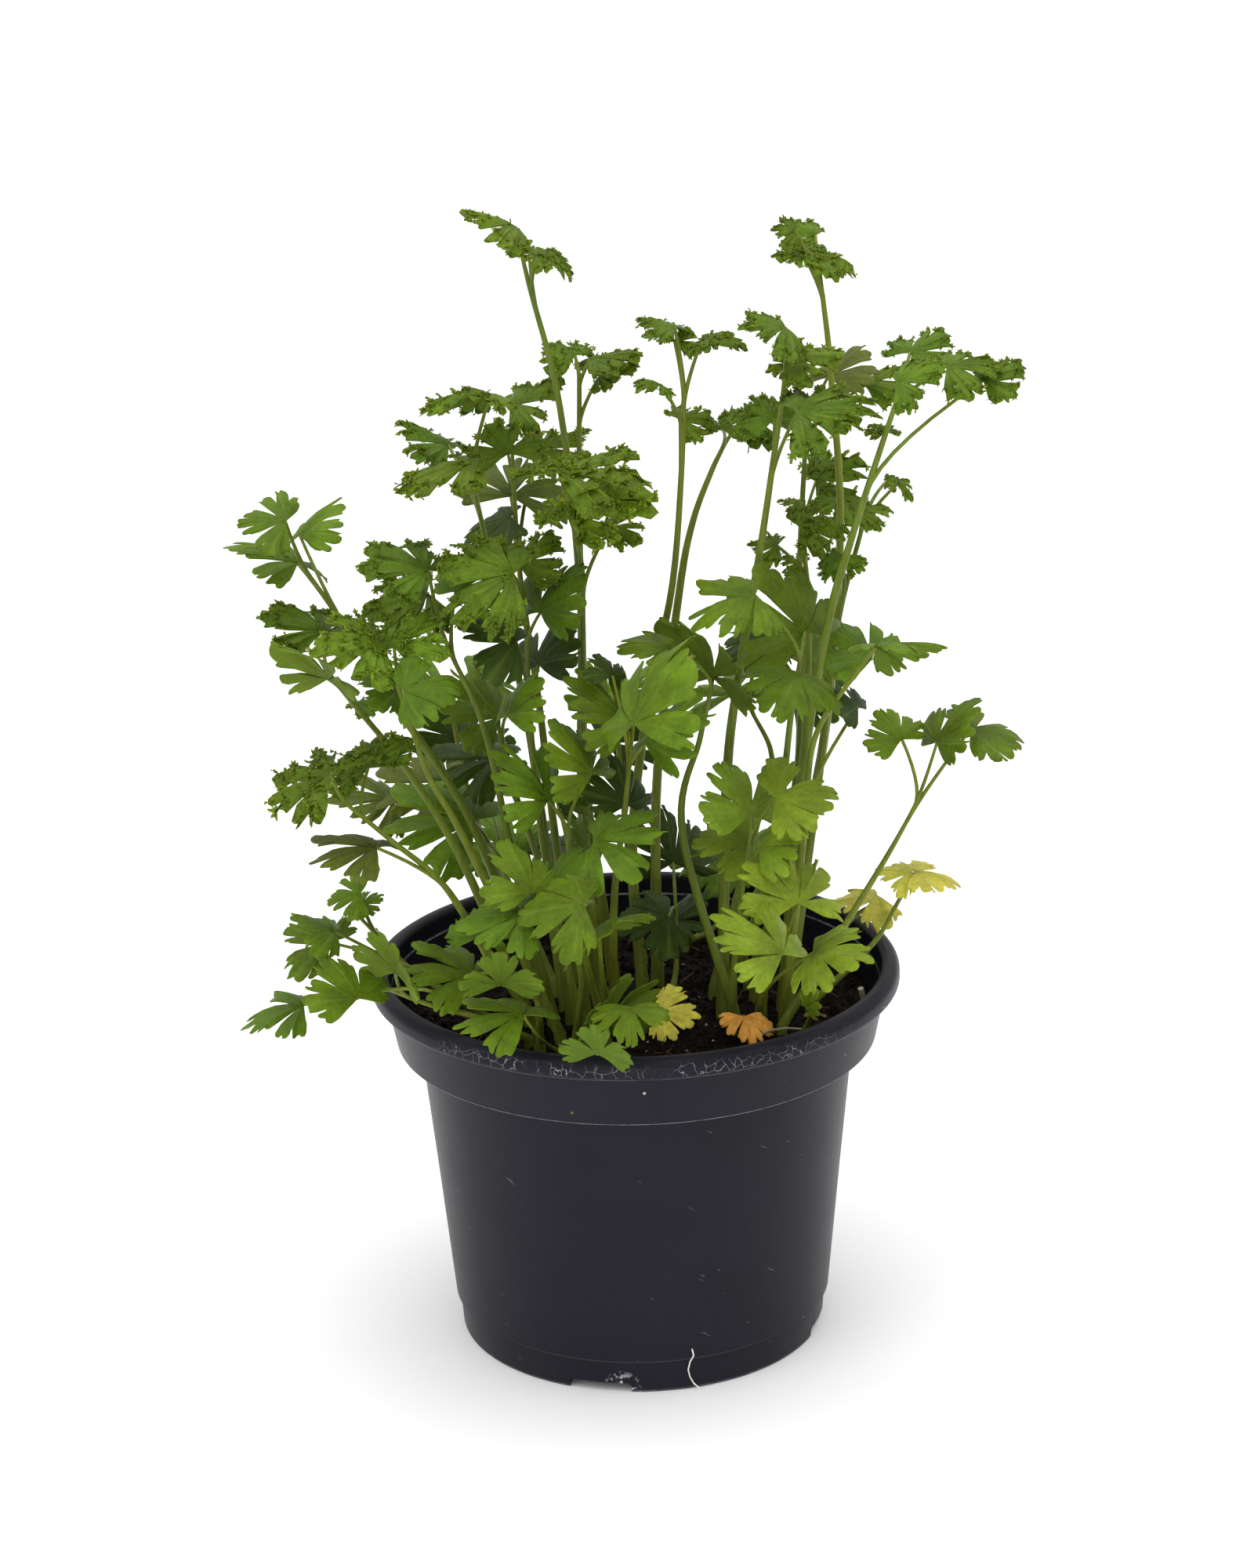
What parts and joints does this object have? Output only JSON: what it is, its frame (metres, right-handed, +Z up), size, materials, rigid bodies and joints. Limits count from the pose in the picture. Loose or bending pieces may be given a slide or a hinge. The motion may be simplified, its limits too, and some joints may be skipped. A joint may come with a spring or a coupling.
{
  "type": "potted parsley",
  "caption": "Curly parsley growing from soil in a round dark nursery pot with a rolled rim, a collar and a tapered body.",
  "frame": {"origin": "centre of the pot's underside, on the surface it stands on", "axes": "+Z up, +X to the right of the picture, the front of the plant faces -Y"},
  "size_m": [0.205, 0.1719, 0.302],
  "materials": {
    "pot": "satin moulded plastic",
    "soil": "moist peat compost",
    "leaf_curly": "leaf",
    "leaf_bright": "leaf",
    "leaf_flat": "leaf",
    "leaf_dark": "leaf",
    "leaf_light": "leaf",
    "leaf_olive": "leaf",
    "leaf_yellow": "leaf",
    "leaf_fallen": "wilted leaf",
    "leaf_dry": "dry leaf"
  },
  "bodies": {
    "root": {"pot": "pot", "soil": "soil", "frond_tall_left": "leaf_curly", "frond_upper_pair": "leaf_curly", "frond_left_upper_front": "leaf_curly", "frond_left_upper_back": "leaf_curly", "frond_bright_curly": "leaf_bright", "frond_centre_left_fan": "leaf_curly", "frond_left_inner_curly": "leaf_curly", "frond_left_wide_curly": "leaf_bright", "frond_far_left_upper": "leaf_flat", "frond_left_curly": "leaf_curly", "frond_left_long_curly": "leaf_curly", "frond_olive_left_back": "leaf_olive", "frond_trailing_low": "leaf_flat", "frond_trailing_high": "leaf_flat", "frond_centre_tall": "leaf_curly", "frond_centre_thin": "leaf_curly", "frond_tall_right": "leaf_curly", "frond_right_centre": "leaf_curly", "frond_olive_right": "leaf_olive", "frond_right_top": "leaf_curly", "frond_right_mid_dark": "leaf_curly", "frond_right_mid_small": "leaf_curly", "frond_right_big_flat": "leaf_flat", "frond_centre_right_flat": "leaf_flat", "frond_right_arm_flat": "leaf_flat", "frond_under_right": "leaf_flat", "frond_centre_big": "leaf_flat", "frond_centre_left_big": "leaf_flat", "frond_left_mid_flat": "leaf_flat", "frond_right_front_pair": "leaf_flat", "frond_front_right_mid": "leaf_flat", "frond_light_front": "leaf_light", "frond_yellow_right": "leaf_yellow", "frond_yellow_green_right": "leaf_yellow", "frond_front_centre_top": "leaf_flat", "frond_front_centre_mid": "leaf_flat", "frond_front_left_mid": "leaf_flat", "frond_front_left_light": "leaf_light", "frond_front_left_low": "leaf_light", "frond_front_low": "leaf_light", "frond_dark_centre": "leaf_dark", "frond_small_right": "leaf_light", "frond_back_left": "leaf_flat", "frond_back_low_left": "leaf_flat", "frond_back_middle": "leaf_flat", "frond_back_right": "leaf_flat", "frond_back_low_right": "leaf_flat", "fallen_yellow_leaf": "leaf_fallen", "fallen_orange_leaf": "leaf_dry"}
  },
  "joints": []
}
